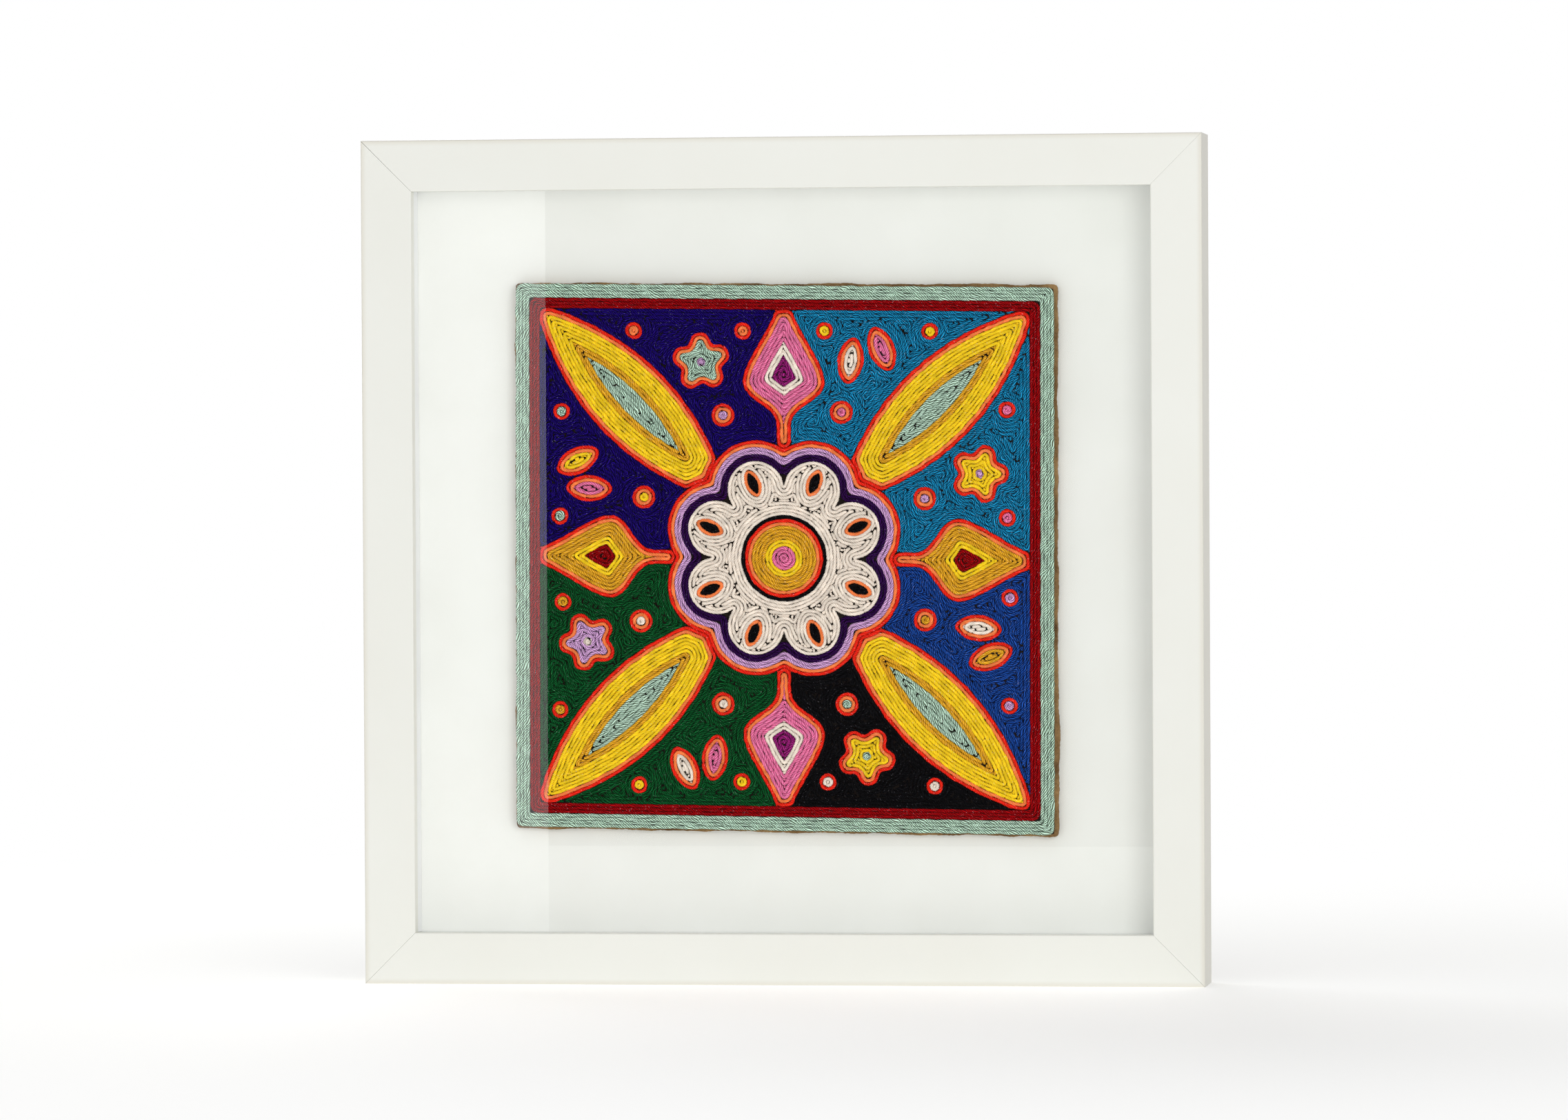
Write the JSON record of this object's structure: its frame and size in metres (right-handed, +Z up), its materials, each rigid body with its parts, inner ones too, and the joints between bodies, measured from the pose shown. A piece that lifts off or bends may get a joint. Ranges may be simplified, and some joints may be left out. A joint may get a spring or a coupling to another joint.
{
  "type": "framed yarn painting",
  "caption": "Square yarn picture on a hand-cut board, float mounted behind glass in a white box frame that hangs on two rings or stands on a shelf.",
  "frame": {"origin": "middle of the underside of the frame's bottom rail, half way through the whole depth", "axes": "+Z up, +X to the viewer's right, the picture faces -Y and the wall is on the +Y side"},
  "size_m": [0.47, 0.0458, 0.47],
  "materials": {
    "painted_wood": "satin",
    "glass": "polished",
    "mount_card": "matte",
    "spacer_card": "matte",
    "foam_card": "matte",
    "hardboard": "matte",
    "zinc_steel": "satin",
    "brass_plate": "satin",
    "bumper_rubber": "matte",
    "painting_board": "matte",
    "wax": "satin",
    "foam_tape": "matte",
    "yarn_mint": "matte",
    "yarn_crimson": "matte",
    "yarn_teal": "matte",
    "yarn_navy": "matte",
    "yarn_royal": "matte",
    "yarn_black": "matte",
    "yarn_green": "matte",
    "yarn_yellow": "matte",
    "yarn_coral": "matte",
    "yarn_lavender": "matte",
    "yarn_purple": "matte",
    "yarn_cream": "matte",
    "yarn_pink": "matte",
    "yarn_ochre": "matte"
  },
  "bodies": {
    "frame": {"rail_top": "painted_wood", "rail_bottom": "painted_wood", "rail_left": "painted_wood", "rail_right": "painted_wood", "corner_nail_top_left": "zinc_steel", "corner_nail_top_right": "zinc_steel", "corner_nail_bottom_left": "zinc_steel", "corner_nail_bottom_right": "zinc_steel", "glass_pane": "glass", "spacer_top": "spacer_card", "spacer_bottom": "spacer_card", "spacer_left": "spacer_card", "spacer_right": "spacer_card", "mount_board": "mount_card", "filler_board": "foam_card", "backing_board": "hardboard", "button_screw_top": "brass_plate", "button_screw_bottom": "brass_plate", "button_screw_left": "brass_plate", "button_screw_right": "brass_plate", "hanger_strap_left": "zinc_steel", "hanger_strap_right": "zinc_steel", "hanger_screw_left": "zinc_steel", "hanger_screw_right": "zinc_steel", "wall_bumper_left": "bumper_rubber", "wall_bumper_right": "bumper_rubber", "painting_board": "painting_board", "wax_layer": "wax", "foam_tape_left": "foam_tape", "foam_tape_right": "foam_tape", "yarn_border_mint": "yarn_mint", "yarn_border_crimson": "yarn_crimson", "yarn_flower_outline": "yarn_coral", "yarn_flower_lavender": "yarn_lavender", "yarn_flower_purple": "yarn_purple", "yarn_flower_petals": "yarn_cream", "yarn_flower_heart": "yarn_ochre", "yarn_leaf_top_right": "yarn_yellow", "yarn_leaf_top_left": "yarn_yellow", "yarn_leaf_bottom_left": "yarn_yellow", "yarn_leaf_bottom_right": "yarn_yellow", "yarn_bud_right": "yarn_ochre", "yarn_bud_top": "yarn_pink", "yarn_bud_left": "yarn_ochre", "yarn_bud_bottom": "yarn_pink", "yarn_ground_right_upper": "yarn_teal", "yarn_ground_top_right": "yarn_teal", "yarn_ground_top_left": "yarn_navy", "yarn_ground_left_upper": "yarn_navy", "yarn_ground_left_lower": "yarn_green", "yarn_ground_bottom_left": "yarn_green", "yarn_ground_bottom_right": "yarn_black", "yarn_ground_right_lower": "yarn_royal"},
    "button_top": {"turn_button_top": "brass_plate"},
    "button_bottom": {"turn_button_bottom": "brass_plate"},
    "button_left": {"turn_button_left": "brass_plate"},
    "button_right": {"turn_button_right": "brass_plate"},
    "ring_left": {"hanger_ring_left": "zinc_steel"},
    "ring_right": {"hanger_ring_right": "zinc_steel"}
  },
  "joints": [
    {"name": "button_top_turn", "type": "hinge", "parent": "frame", "child": "button_top", "pos_m": [0, 0.01785, 0.454], "axis": [0, 1, 0], "continuous": true},
    {"name": "button_bottom_turn", "type": "hinge", "parent": "frame", "child": "button_bottom", "pos_m": [0, 0.01785, 0.016], "axis": [0, 1, 0], "continuous": true},
    {"name": "button_left_turn", "type": "hinge", "parent": "frame", "child": "button_left", "pos_m": [-0.219, 0.01785, 0.235], "axis": [0, 1, 0], "continuous": true},
    {"name": "button_right_turn", "type": "hinge", "parent": "frame", "child": "button_right", "pos_m": [0.219, 0.01785, 0.235], "axis": [0, 1, 0], "continuous": true},
    {"name": "ring_left_swing", "type": "hinge", "parent": "frame", "child": "ring_left", "pos_m": [-0.22425, 0.02, 0.34], "axis": [1, 0, 0], "range_deg": [0, 180]},
    {"name": "ring_right_swing", "type": "hinge", "parent": "frame", "child": "ring_right", "pos_m": [0.22425, 0.02, 0.34], "axis": [1, 0, 0], "range_deg": [0, 180]}
  ]
}
